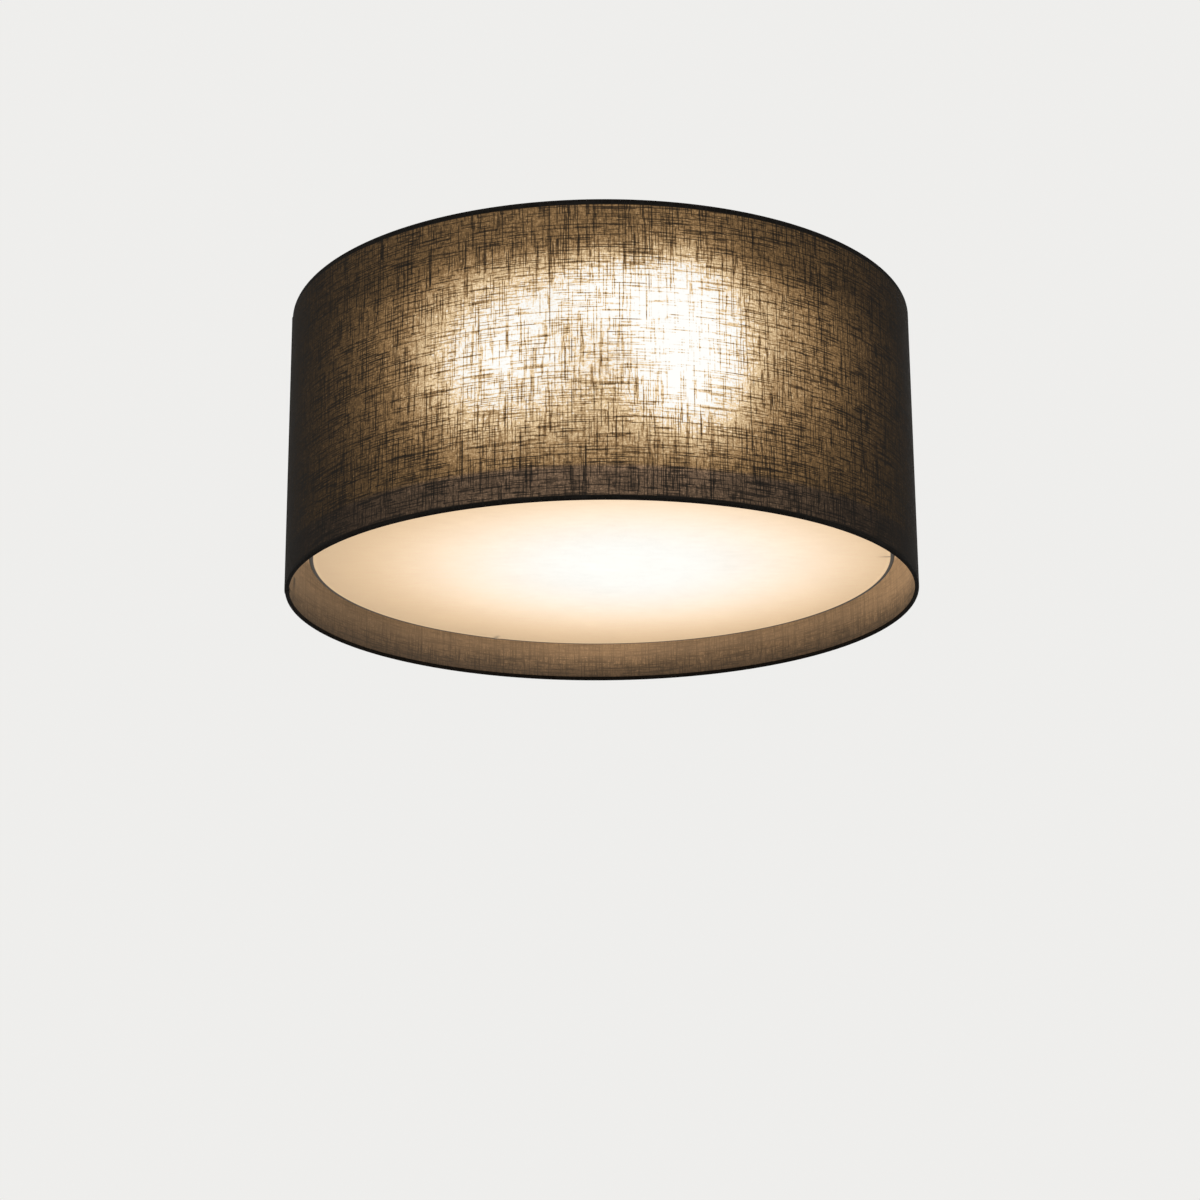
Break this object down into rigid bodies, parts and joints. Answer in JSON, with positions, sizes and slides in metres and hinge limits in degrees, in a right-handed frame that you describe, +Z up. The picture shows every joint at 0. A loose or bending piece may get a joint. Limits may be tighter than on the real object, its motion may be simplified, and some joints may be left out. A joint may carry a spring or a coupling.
{
  "type": "flush mount ceiling light",
  "caption": "Flush mount ceiling light: a drum shade of black linen over a translucent liner, with a recessed textile diffuser disc, lampholders and screw-cap bulbs inside.",
  "frame": {"origin": "centre of the mounting face that lies on the ceiling", "axes": "+Z up into the ceiling; the light hangs below; -Y towards the picture's viewer"},
  "size_m": [0.4999, 0.5, 0.235],
  "materials": {
    "black_linen": "slubby linen weave",
    "shade_liner": "translucent laminated sheet over the black cloth",
    "diffuser_textile": "fine pale textile",
    "opal_sheet": "matt opal sheet",
    "coated_wire": "white powder coat",
    "plated_steel": "zinc plated",
    "white_enamel": "white stoved paint, satin",
    "brass": "bright turned brass",
    "black_phenolic": "moulded, half gloss",
    "nickel": "nickel plated shell",
    "bulb_white": "white moulded housing",
    "opal_globe": "opal polycarbonate",
    "terminal_plastic": "natural nylon",
    "lead_sheath": "white flexible sheath"
  },
  "bodies": {
    "root": {"ceiling_bracket": "plated_steel", "canopy": "white_enamel", "canopy_screws": "plated_steel", "stem": "plated_steel", "stem_nuts": "plated_steel", "stem_knob": "brass", "terminal_block": "terminal_plastic", "terminal_screws": "plated_steel", "holder_bracket": "plated_steel", "holder_nipples": "plated_steel", "holder_nuts": "plated_steel", "shade_fabric": "black_linen", "shade_liner": "shade_liner", "shade_seam": "black_linen", "shade_top_ring": "coated_wire", "shade_bottom_ring": "coated_wire", "shade_hub": "coated_wire", "shade_arm_1": "coated_wire", "shade_arm_2": "coated_wire", "shade_arm_3": "coated_wire", "lead_1": "lead_sheath", "lampholder_cap_1": "black_phenolic", "lampholder_body_1": "black_phenolic", "lampholder_shell_1": "brass", "lampholder_contact_1": "brass", "lead_2": "lead_sheath", "lampholder_cap_2": "black_phenolic", "lampholder_body_2": "black_phenolic", "lampholder_shell_2": "brass", "lampholder_contact_2": "brass"},
    "diffuser_clip": {"diffuser_clip": "brass"},
    "diffuser": {"diffuser_fabric": "diffuser_textile", "diffuser_sheet": "opal_sheet", "diffuser_ring": "coated_wire", "diffuser_arm_1": "coated_wire", "diffuser_arm_2": "coated_wire", "diffuser_arm_3": "coated_wire", "diffuser_hub": "coated_wire"},
    "bulb_1_tip": {"bulb_contact_1": "brass"},
    "bulb_1": {"bulb_cap_1": "nickel", "bulb_housing_1": "bulb_white", "bulb_globe_1": "opal_globe"},
    "bulb_2_tip": {"bulb_contact_2": "brass"},
    "bulb_2": {"bulb_cap_2": "nickel", "bulb_housing_2": "bulb_white", "bulb_globe_2": "opal_globe"}
  },
  "joints": [
    {"name": "diffuser_pull", "type": "slide", "parent": "root", "child": "diffuser_clip", "axis": [0, 0, -1], "range_m": [0, 0.13]},
    {"name": "diffuser_turn", "type": "hinge", "parent": "diffuser_clip", "child": "diffuser", "pos_m": [0, 0, -0.121], "axis": [0, 0, 1], "continuous": true},
    {"name": "bulb_1_out", "type": "slide", "parent": "root", "child": "bulb_1_tip", "axis": [0.9397, -0.342, 0], "range_m": [0, 0.009]},
    {"name": "bulb_1_turn", "type": "hinge", "parent": "bulb_1_tip", "child": "bulb_1", "pos_m": [0.02067, -0.00752, -0.05], "axis": [0.9397, -0.342, 0], "range_deg": [0, 900]},
    {"name": "bulb_2_out", "type": "slide", "parent": "root", "child": "bulb_2_tip", "axis": [-0.9397, 0.342, 0], "range_m": [0, 0.009]},
    {"name": "bulb_2_turn", "type": "hinge", "parent": "bulb_2_tip", "child": "bulb_2", "pos_m": [-0.02067, 0.00752, -0.05], "axis": [-0.9397, 0.342, 0], "range_deg": [0, 900]}
  ],
  "couplings": [
    {"joint": "bulb_1_turn", "follows": "bulb_1_out", "rad_per_m": 1731.6},
    {"joint": "bulb_2_turn", "follows": "bulb_2_out", "rad_per_m": 1731.6}
  ]
}
